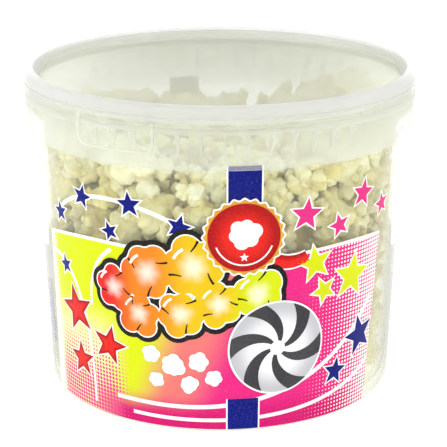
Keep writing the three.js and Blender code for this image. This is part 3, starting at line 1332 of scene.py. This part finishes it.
        def place(across: np.ndarray, up: np.ndarray) -> Spread:
            """Follows the wave."""
            x = self.ground_left + (self.ground_right - self.ground_left) * across
            x = x + self.left_lean * (1 - across)
            return x, self.ground_edge(x) + (up - 0.35) * self.edge_width

        return sheet(90, 1, place)

    def box(self, left: float, right: float, low: float, high: float) -> Piece:
        """A plain rectangle of ink."""

        def place(across: np.ndarray, up: np.ndarray) -> Spread:
            """Spans the rectangle."""
            return left + (right - left) * across, low + (high - low) * up

        return sheet(max(2, round((right - left) / CELL)), 2, place)

    def make(self) -> None:
        """Builds and dresses the film and every layer of its print."""
        film = ClearPlastic(
            "label_clear", haze=0.015, cloud=linear(246, 247, 240), tint=linear(255, 255, 254),
        ).build()
        dress(self.film_sleeve(), film, Slot.LABEL, "label")
        inks = {
            name: ink("ink_" + name, linear(*colour), linear(*shade), **more).build()
            for name, ink, colour, shade, more in self.inks
        }
        stars = {
            name: [Star(x * MM, z * MM, reach * MM, turn) for x, z, reach, turn in rows]
            for name, rows in self.stars.items()
        }
        row, flakes = (
            [Puff(x * MM, z * MM, reach * MM, *form) for x, z, reach, *form in rows]
            for rows in (self.row, self.flakes)
        )
        sweeps, tails = (
            [
                Ribbon(tuple((x * MM, z * MM) for x, z in points), width * MM, end * MM)
                for points, width, end in rows
            ]
            for rows in (self.sweeps, self.tails)
        )
        across, up = self.badge
        badge = self.badge_reach
        left, right = self.band

        def band_boxes(margin: float) -> list[Piece]:
            """The upright band's two stretches, with a margin at each side."""
            top, low = LABEL_TOP - self.band_inset, LABEL_LOW + self.print_foot
            sides = (left - margin, right + margin)
            return [self.box(*sides, up, top), self.box(*sides, low, self.band_foot)]

        def disc(middle: tuple[float, float], reach: float, scallops: int = 0) -> list[Piece]:
            """A full disc, plain or scalloped."""
            return [Wedge(*middle, 0, reach, scallops=scallops).flat()]

        layers = (
            ("label_ground", 0, "ground", lambda: [self.ground()]),
            (
                "label_white_lines", 1, "white",
                lambda: [self.edge_line(), *(s.flat() for s in sweeps), *band_boxes(self.trim)],
            ),
            ("label_blue_band", 2, "blue", lambda: band_boxes(0)),
            (
                "label_star_borders", 3, "white",
                lambda: [s.grown(self.star_border).flat() for group in stars.values() for s in group]
                + [tail.flat(self.trim) for tail in tails],
            ),
            ("label_blue_stars", 4, "blue", lambda: [s.flat() for s in stars["blue"]]),
            ("label_pink_stars", 4, "pink", lambda: [s.flat() for s in stars["pink"]]),
            ("label_lime_stars", 4, "lime", lambda: [s.flat() for s in stars["lime"]]),
            ("label_red_stars", 4, "red", lambda: [s.flat() for s in stars["red"] + tails]),
            (
                "label_puff_shadows", 5, "black",
                lambda: [puff.flat(self.puff_shadow) for puff in row],
            ),
            (
                "label_puff_borders", 6, "white",
                lambda: [puff.flat(self.puff_border) for puff in row]
                + [flake.flat(self.flake_border) for flake in flakes],
            ),
            ("label_puffs", 7, "puffs", lambda: [puff.flat() for puff in row]),
            (
                "label_puff_creases", 8, "black",
                lambda: [puff.crease(i).flat() for puff in row for i in range(0, puff.lobes, 2)],
            ),
            (
                "label_puff_shines", 9, "white",
                lambda: [
                    Wedge(p.across, p.up, 0.66 * p.reach, 0.76 * p.reach, 118, 158).flat()
                    for p in row
                ],
            ),
            ("label_ball_border", 10, "white", lambda: disc(self.ball, self.ball_reach + MM)),
            ("label_ball", 11, "silver", lambda: disc(self.ball, self.ball_reach)),
            (
                "label_ball_blades", 12, "slate",
                lambda: [
                    Wedge(*self.ball, 4 * MM, self.ball_reach, 60 * i, 60 * i + 26, 45).flat()
                    for i in range(6)
                ],
            ),
            ("label_badge_border", 13, "white", lambda: disc(self.badge, badge + 2.4 * MM, 24)),
            ("label_badge_ring", 14, "gold", lambda: disc(self.badge, badge + 1.4 * MM, 24)),
            ("label_badge", 15, "red", lambda: disc(self.badge, badge)),
            (
                "label_emblem", 16, "white",
                lambda: [
                    Puff(across, up + 2 * MM, 8.5 * MM, 6, 15).flat(),
                    Wedge(across, up, 14.2 * MM, 15.0 * MM, 200, 340).flat(),
                    Star(across, up - 10.5 * MM, 2.4 * MM).flat(),
                ],
            ),
            (
                "label_info_bars", 1, "violet",
                lambda: [
                    self.box(side * MM, side * MM + self.bar_width, self.bar_foot, high * MM)
                    for side, high in self.bars
                ],
            ),
        )
        for name, layer, ink, flats in layers:
            self.printed(name, layer, flats(), inks[ink])


# ---- the popcorn ---------------------------------------------------------------------------


class Kind(Enum):
    """How a kernel has popped."""

    BUTTERFLY = "butterfly"
    MUSHROOM = "mushroom"
    CRUMB = "crumb"


@dataclass
class Kernel:
    """One popped kernel about its own middle, a unit across, as arrays to be copied."""

    points: np.ndarray
    triangles: np.ndarray
    # Share of painted shade at each point, most at the kernel's middle.
    fold_shade: np.ndarray
    hull: np.ndarray


@dataclass
class KernelModeller:
    """Models popped kernels from overlapping balls, skinned over and crumpled."""

    kind: Kind
    seed: int
    faces: int
    cap: float = 6.4
    knobs: int = 26
    knob_reach: tuple[float, float] = (5.4, 7.2)
    knob_radius: tuple[float, float] = (1.8, 3.1)
    stem_drop: float = 6.0
    stem_radius: float = 2.4
    heart: float = 3.4
    wing_reach: tuple[float, float] = (4.6, 7.4)
    wing_radius: tuple[float, float] = (2.6, 4.2)
    frills: int = 5
    frill_share: tuple[float, float] = (0.42, 0.62)
    voxel: float = 0.62
    crumple_scale: float = 1.8
    crumple_depth: float = 2.0
    hull_lean: tuple[float, float] = (0.55, 0.85)
    hull_reach: tuple[float, float] = (4.5, 6.5)

    def lobes(self, random: np.random.Generator) -> list[tuple[np.ndarray, float]]:
        """Middle and radius of each ball that the kernel is made of, in millimetres."""
        balls = []
        if self.kind is Kind.MUSHROOM:
            balls.append((np.zeros(3), self.cap))
            for _ in range(self.knobs):
                way = random.normal(size=3)
                way[2] = abs(way[2]) - 0.35 * abs(way[0])
                way /= np.linalg.norm(way)
                reach = random.uniform(*self.knob_reach)
                balls.append((way * reach, random.uniform(*self.knob_radius)))
            balls.append((np.array([0, 0, -self.stem_drop]), self.stem_radius))
            return balls
        wings = 5 if self.kind is Kind.BUTTERFLY else 3
        balls.append((np.zeros(3), self.heart))
        ways = []
        while len(ways) < wings:
            way = random.normal(size=3)
            way /= np.linalg.norm(way)
            if all(way @ other < 0.45 for other in ways):
                ways.append(way)
        for way in ways:
            middle = way * random.uniform(*self.wing_reach)
            radius = random.uniform(*self.wing_radius)
            balls.append((middle * 0.5, radius * 0.8))
            balls.append((middle, radius))
            for _ in range(self.frills):
                spread = way + 1.1 * random.normal(size=3)
                spread /= np.linalg.norm(spread)
                share = random.uniform(*self.frill_share)
                balls.append((middle + spread * radius * 0.85, radius * share))
        return balls

    def model(self) -> Kernel:
        """Models the kernel and keeps it as arrays.

        Returns:
            The kernel, about its middle and a unit across.
        """
        random = np.random.default_rng(self.seed)
        deselect()
        balls = self.lobes(random)
        for number, (middle, radius) in enumerate(balls):
            bpy.ops.mesh.primitive_ico_sphere_add(
                subdivisions=2, radius=float(radius), location=tuple(float(v) for v in middle)
            )
            if number == 0:
                bpy.ops.object.mode_set(mode="EDIT")
        bpy.ops.object.mode_set(mode="OBJECT")
        piece = bpy.context.object
        apply_modifier(piece, "REMESH", mode="VOXEL", voxel_size=self.voxel)
        apply_modifier(piece, "SMOOTH", factor=0.5, iterations=1)
        ruffle(piece, self.crumple_scale, self.crumple_depth)
        count = sum(len(face.vertices) - 2 for face in piece.data.polygons)
        apply_modifier(piece, "DECIMATE", ratio=min(1.0, self.faces / count))
        apply_modifier(piece, "TRIANGULATE")
        points = points_of(piece)
        reach = np.linalg.norm(points, axis=1)
        size = np.ptp(points, axis=0).max()
        stem = np.array([0, 0, -1.0])
        lean = (points @ stem) / np.maximum(reach, 1e-6)
        least, full = self.hull_lean
        near, far = self.hull_reach
        hull = np.clip((lean - least) / (full - least), 0, 1)
        hull *= np.clip((far - reach) / (far - near), 0, 1)
        triangles = corners_of(piece).reshape(-1, 3)
        # The painted fold shade is 0 at the kernel's outside and grows towards its middle.
        kernel = Kernel(points / size, triangles, 1 - reach / reach.max(), hull)
        mesh = piece.data
        bpy.data.objects.remove(piece)
        bpy.data.meshes.remove(mesh)
        return kernel


def random_turn(random: np.random.Generator) -> np.ndarray:
    """A turn to any facing, as a 3 by 3 matrix."""
    quarter = random.normal(size=4)
    w, x, y, z = quarter / np.linalg.norm(quarter)
    return np.array([
        [1 - 2 * (y * y + z * z), 2 * (x * y - z * w), 2 * (x * z + y * w)],
        [2 * (x * y + z * w), 1 - 2 * (x * x + z * z), 2 * (y * z - x * w)],
        [2 * (x * z - y * w), 2 * (y * z + x * w), 1 - 2 * (x * x + y * y)],
    ])


def scattered(
    random: np.random.Generator, width: float, height: float, spacing: float, wraps: bool
) -> np.ndarray:
    """Throws points on a rectangle and keeps those that lie apart.

    Args:
        random: Seeded random numbers.
        width: Width of the rectangle.
        height: Height of the rectangle.
        spacing: Least distance between two points.
        wraps: Whether the right side meets the left side.

    Returns:
        A row for each point kept.
    """
    kept = np.empty((0, 2))
    tries = int(12 * width * height / spacing**2)
    for point in random.uniform((0, 0), (width, height), (tries, 2)):
        away = np.abs(kept - point)
        if wraps:
            away[:, 0] = np.minimum(away[:, 0], width - away[:, 0])
        if not len(kept) or np.hypot(away[:, 0], away[:, 1]).min() > spacing:
            kept = np.vstack([kept, point])
    return kept


@dataclass
class Popcorn:
    """The popped corn: a core that nothing shows through, and the kernels that show. Each shape
    has its kind, the seed of its first kernel, a kernel's faces and how many there are."""

    shapes = (
        (Kind.BUTTERFLY, 11, 1700, 7),
        (Kind.MUSHROOM, 31, 1700, 3),
        (Kind.CRUMB, 51, 300, 3),
        (Kind.BUTTERFLY, 71, 260, 5),
    )
    level: float = 135 * MM
    slope: float = 0.078
    bowl: float = 28 * MM
    limit: float = 164 * MM
    spacing: float = 16 * MM
    clearance: float = 0.35 * MM
    seed: int = 20391
    inset: float = 17 * MM
    core_gap: float = 5 * MM
    core_drop: float = 26 * MM
    core_shoulder: tuple[float, float] = (14 * MM, 12 * MM)
    floor_gap: float = 8 * MM
    split: float = 70 * MM
    small: tuple[float, float] = (17 * MM, 24 * MM)
    large: tuple[float, float] = (20 * MM, 29 * MM)
    hidden: tuple[float, float] = (16 * MM, 22 * MM)
    crumb: tuple[float, float] = (6 * MM, 11 * MM)

    def core(self) -> Piece:
        """Turns the lumpy body inside the kernels, with its top along the heap's surface."""
        low = WALL.floor + self.core_gap
        high = self.level - self.core_drop
        narrow = WALL.inner(low) - self.inset
        wide = WALL.inner(high) - self.inset
        run, rise = self.core_shoulder
        outline = [
            (0, low),
            (narrow - 6 * MM, low),
            (narrow, low + 8 * MM),
            (wide, high - rise),
            (wide - run, high),
            (0, high + 2 * MM),
        ]
        piece = turned("popcorn_core", outline, 96)
        points = points_of(piece)
        rising = np.clip((points[:, 2] - high) / rise + 1, 0, 1)
        points[:, 2] += rising * (self.surface(points[:, 0]) - self.level)
        move_points(piece, points)
        choose(piece)
        edit_all(bpy.ops.mesh.subdivide, number_cuts=4)
        ruffle(piece, scale=9 * MM, strength=8 * MM)
        # Painted shade: the core gets a dark butter tone and much fold shade, so the gaps between
        # kernels read as shade.
        for name, value in (("tone", 0.9), ("fold_shade", 0.75), ("hull", 0.0)):
            carry(piece.data, name, np.full(len(piece.data.vertices), value))
        smooth(piece, 60)
        return piece

    def surface(self, across: np.ndarray) -> np.ndarray:
        """Height of the heap at a place from left to right: a slope, and a rise at both walls."""
        rise = self.slope * across + self.bowl * (across / WALL.base_radius) ** 2
        return self.level + rise

    def settle(self, points: np.ndarray) -> np.ndarray:
        """Moves a kernel in from the wall and up from the base until it just clears them."""
        for _ in range(3):
            reach = np.hypot(points[:, 0], points[:, 1])
            over = (reach - WALL.inner(points[:, 2])).max() + self.clearance
            middle = points[:, :2].mean(axis=0)
            away = np.linalg.norm(middle)
            if over > 0 and away > 0:
                points = points - np.array([*(middle / away * over), 0])
        lift = WALL.floor + self.clearance - points[:, 2].min()
        drop = points[:, 2].max() - self.limit
        return points + np.array([0, 0, max(lift, 0) - max(drop, 0)])

    def heap(
        self, name: str, kinds: list[Kernel], places: np.ndarray, sizes: tuple[float, float],
        random: np.random.Generator,
    ) -> Piece:
        """Copies kernels to their places and joins them.

        Args:
            name: The piece's name.
            kinds: The kernels to copy, taken at random.
            places: A row for each kernel's middle.
            sizes: Least and greatest size of a kernel.
            random: Seeded random numbers.

        Returns:
            One mesh with the tone, painted fold shade and hull numbers at its points.
        """
        points, triangles, tones, fold_shades, hulls = [], [], [], [], []
        count = 0
        for place in places:
            kernel = kinds[random.integers(len(kinds))]
            size = random.uniform(*sizes)
            copy = self.settle(kernel.points @ random_turn(random).T * size + place)
            points.append(copy)
            triangles.append(kernel.triangles + count)
            count += len(copy)
            tones.append(np.full(len(copy), random.beta(1.4, 2.2)))
            fold_shades.append(kernel.fold_shade)
            hulls.append(kernel.hull * (random.random() < 0.3))
        mesh = bpy.data.meshes.new(name)
        faces = np.vstack(triangles)
        mesh.vertices.add(count)
        mesh.vertices.foreach_set("co", np.vstack(points).astype(np.float32).ravel())
        mesh.loops.add(faces.size)
        mesh.loops.foreach_set("vertex_index", faces.astype(np.int32).ravel())
        mesh.polygons.add(len(faces))
        mesh.polygons.foreach_set("loop_start", np.arange(0, faces.size, 3, dtype=np.int32))
        mesh.update(calc_edges=True)
        mesh.polygons.foreach_set("use_smooth", np.ones(len(faces), bool))
        for label, values in (("tone", tones), ("fold_shade", fold_shades), ("hull", hulls)):
            carry(mesh, label, np.concatenate(values))
        piece = bpy.data.objects.new(name, mesh)
        bpy.context.scene.collection.objects.link(piece)
        return piece

    def wall_places(
        self, random: np.random.Generator, depth: float, spacing: float, low: float, drop: float
    ) -> np.ndarray:
        """Middles of kernels in a layer along the wall, at a depth behind it.

        Args:
            random: Seeded random numbers.
            depth: How far behind the wall the layer starts.
            spacing: Least distance between two kernels.
            low: Height of the layer's lower edge.
            drop: How far below the heap's surface the layer ends.

        Returns:
            A row for each kernel.
        """
        high = self.limit
        radius = WALL.inner((low + high) / 2)
        flat = scattered(random, TURN * radius, high - low, spacing, True)
        angle = flat[:, 0] / radius
        height = low + flat[:, 1]
        reach = WALL.inner(height) - depth - random.uniform(0, 4 * MM, len(flat))
        places = around(angle, reach, height)
        return places[height < self.surface(places[:, 0]) - drop]

    def disc_places(
        self, random: np.random.Generator, drop: float, spacing: float, rise: float
    ) -> np.ndarray:
        """Middles of kernels in a layer that follows the heap's surface, each a little up or down.

        Args:
            random: Seeded random numbers.
            drop: How far below the heap's surface the layer lies.
            spacing: Least distance between two kernels.
            rise: Spread of the heights.

        Returns:
            A row for each kernel.
        """
        limit = WALL.inner(self.level - drop) - 8 * MM
        flat = scattered(random, 2 * limit, 2 * limit, spacing, False) - limit
        flat = flat[np.hypot(flat[:, 0], flat[:, 1]) < limit]
        swell = rise * (random.random(len(flat)) - 0.5)
        return np.column_stack([flat, self.surface(flat[:, 0]) - drop + swell])

    def make(self) -> None:
        """Models the kernels, fills the pail with them and dresses them."""
        corn = PoppedCorn().build()
        # Painted light: a paler copy of the corn, which only the top kernels get so that the heap's
        # top looks more brightly lit.
        painted_lit_corn = PoppedCorn(
            "popped_corn_painted_lit", cream=linear(255, 253, 226), butter=linear(247, 240, 180)
        ).build()
        butterflies, mushrooms, crumbs, plain = (
            [KernelModeller(kind, first + i, faces).model() for i in range(count)]
            for kind, first, faces, count in self.shapes
        )
        random = np.random.default_rng(self.seed)
        low = WALL.floor + self.floor_gap
        dress(self.core(), corn, Slot.CORN, "popcorn")
        wall = self.wall_places(random, 8 * MM, self.spacing, low, 7 * MM)
        lower = wall[:, 2] < self.split
        pieces = [
            self.heap(
                "popcorn_wall_lower", butterflies + mushrooms,
                wall[lower], self.small, random,
            ),
            self.heap(
                "popcorn_wall_upper", butterflies + mushrooms,
                wall[~lower], self.large, random,
            ),
            self.heap(
                "popcorn_top", butterflies * 2 + mushrooms,
                self.disc_places(random, 5.5 * MM, 15 * MM, 8 * MM), self.large, random,
            ),
            self.heap(
                "popcorn_behind", plain,
                self.wall_places(random, 17 * MM, 15 * MM, low, 11 * MM),
                self.hidden, random,
            ),
            self.heap(
                "popcorn_under", plain,
                np.vstack([
                    self.disc_places(random, 16 * MM, 12.5 * MM, 4 * MM),
                    self.disc_places(random, self.level - low, 15 * MM, 3 * MM),
                ]),
                self.hidden, random,
            ),
            self.heap(
                "popcorn_crumbs", crumbs,
                np.vstack([
                    self.wall_places(random, 4 * MM, 21 * MM, low, 7 * MM),
                    self.disc_places(random, 4 * MM, 24 * MM, 6 * MM),
                ]),
                self.crumb, random,
            ),
        ]
        for piece in pieces:
            # The top kernels take the paler copy as painted light.
            dress(piece, painted_lit_corn if piece.name == "popcorn_top" else corn, Slot.CORN)


# ---- the studio ----------------------------------------------------------------------------


@dataclass
class Studio:
    """The camera, the lights, the white surroundings and the floor. Each light has its name,
    its place, the length of its side and its brightness."""

    lights = (
        ("light_key", (0.05, -1.3, 0.9), 0.6, 1.6),
        ("light_left", (-0.9, -0.35, 0.25), 0.5, 1.1),
        ("light_right", (0.9, -0.35, 0.25), 0.5, 0.3),
        ("light_top", (0, -0.15, 1.2), 0.7, 1.5),
    )
    camera_place: tuple[float, float, float] = (1.9 * MM, -818.4 * MM, 349.1 * MM)
    pitch: float = 18.02
    focal_pixels: float = 1528.7
    sensor: float = 36
    wall_light: float = 0.92
    ceiling_light: float = 0.84
    floor_glow: float = 0.55
    glint_turns: tuple[float, float] = (126, 158)
    glint_distance: float = 260 * MM
    glint_height: float = 150 * MM
    sheen_height: float = 200 * MM
    glint_strength: float = 6
    sheen_strength: float = 2.5
    floor_side: float = 6
    aim_height: float = 120 * MM

    def camera(self) -> None:
        """Sets the camera where the object was looked at from."""
        tilt = (math.radians(90 - self.pitch), 0, 0)
        bpy.ops.object.camera_add(location=self.camera_place, rotation=tilt)
        camera = bpy.context.object
        camera.data.sensor_width = self.sensor
        camera.data.lens = self.focal_pixels / PICTURE_SIDE * self.sensor
        camera.data.clip_start = 0.01
        bpy.context.scene.camera = camera

    def panel(
        self, name: str, place: tuple[float, float, float], size: tuple[float, float],
        strength: float, aim_height: float,
    ) -> Piece:
        """Adds a soft light panel that faces a point on the pail's axis.

        Args:
            name: The light's name.
            place: Its place.
            size: Width and height.
            strength: Brightness of its face.
            aim_height: Height of the point that it faces.

        Returns:
            The panel, which the camera doesn't see.
        """
        bpy.ops.object.light_add(type="AREA", location=place)
        light = bpy.context.object
        light.name = name
        light.data.shape = "RECTANGLE"
        light.data.size, light.data.size_y = size
        light.data.energy = strength * math.pi * size[0] * size[1]
        aim = Vector((0, 0, aim_height)) - Vector(place)
        light.rotation_euler = aim.to_track_quat("-Z", "Y").to_euler()
        light.visible_camera = False
        return light

    def glint(self, name: str, side: int, low: float, height: float, strength: float) -> None:
        """Adds an upright white strip behind one side, which only the gloss shows.

        Args:
            name: The strip's name.
            side: 1 for the right side and -1 for the left side.
            low: Height of its lower edge.
            height: Its own height.
            strength: Brightness of its face.
        """
        first, last = self.glint_turns
        turn = math.radians((first + last) / 2) * side
        reach = self.glint_distance
        place = (reach * math.sin(turn), -reach * math.cos(turn), low + height / 2)
        width = 2 * reach * math.tan(math.radians((last - first) / 2))
        strip = self.panel(name, place, (width, height), strength, place[2])
        strip.visible_diffuse = False
        strip.visible_transmission = False

    def surroundings(self) -> None:
        """Fills the room with even white light."""
        world = bpy.data.worlds.new("white_room")
        world.use_nodes = True
        tree = world.node_tree
        seen = tree.nodes["Background"]
        seen.inputs["Color"].default_value = (1, 1, 1, 1)
        cast = tree.nodes.new("ShaderNodeBackground")
        cast.inputs["Color"].default_value = (1, 1, 1, 1)
        way = tree.nodes.new("ShaderNodeTexCoord")
        split = tree.nodes.new("ShaderNodeSeparateXYZ")
        fade = tree.nodes.new("ShaderNodeMapRange")
        levels = (0.1, 0.8, self.wall_light, self.ceiling_light)
        for name, level in zip(("From Min", "From Max", "To Min", "To Max"), levels):
            fade.inputs[name].default_value = level
        tree.links.new(way.outputs["Generated"], split.inputs[0])
        tree.links.new(split.outputs["Z"], fade.inputs["Value"])
        tree.links.new(fade.outputs[0], cast.inputs["Strength"])
        rays = tree.nodes.new("ShaderNodeLightPath")
        either = tree.nodes.new("ShaderNodeMixShader")
        tree.links.new(rays.outputs["Is Camera Ray"], either.inputs[0])
        tree.links.new(cast.outputs[0], either.inputs[1])
        tree.links.new(seen.outputs[0], either.inputs[2])
        tree.links.new(either.outputs[0], tree.nodes["World Output"].inputs["Surface"])
        bpy.context.scene.world = world

    def floor(self) -> None:
        """Lays the pale floor."""
        deselect()
        bpy.ops.mesh.primitive_plane_add(size=self.floor_side)
        floor = named("studio_floor")
        bench = Bench("floor_white")
        tone = bench.blend(bench.noise(3, 2), linear(250, 250, 250), linear(247, 247, 247))
        shader = bench.node(
            "BsdfPrincipled",
            {
                "Base Color": tone, "Roughness": 0.7, "Specular IOR Level": 0.2,
                "Emission Color": (1, 1, 1, 1), "Emission Strength": self.floor_glow,
            },
        ).outputs[0]
        floor.data.materials.append(bench.finish(shader))

    def make(self) -> None:
        """Builds the studio."""
        deselect()
        self.camera()
        self.surroundings()
        self.floor()
        for name, side in (("left", -1), ("right", 1)):
            self.glint("glint_" + name, side, 0, self.glint_height, self.glint_strength)
            self.glint(
                "sheen_" + name, side, self.glint_height, self.sheen_height, self.sheen_strength
            )
        for name, place, side, strength in self.lights:
            self.panel(name, place, (side, side), strength, self.aim_height)
        scene = bpy.context.scene
        scene.view_settings.view_transform = "Standard"
        scene.cycles.transparent_max_bounces = 40


def main() -> None:
    """Builds the scene in order."""
    logging.basicConfig(level=logging.INFO, format="%(name)s %(message)s")
    Studio().make()
    Pail().make()
    Lid().make()
    Label().make()
    Popcorn().make()


if __name__ == "__main__":
    main()
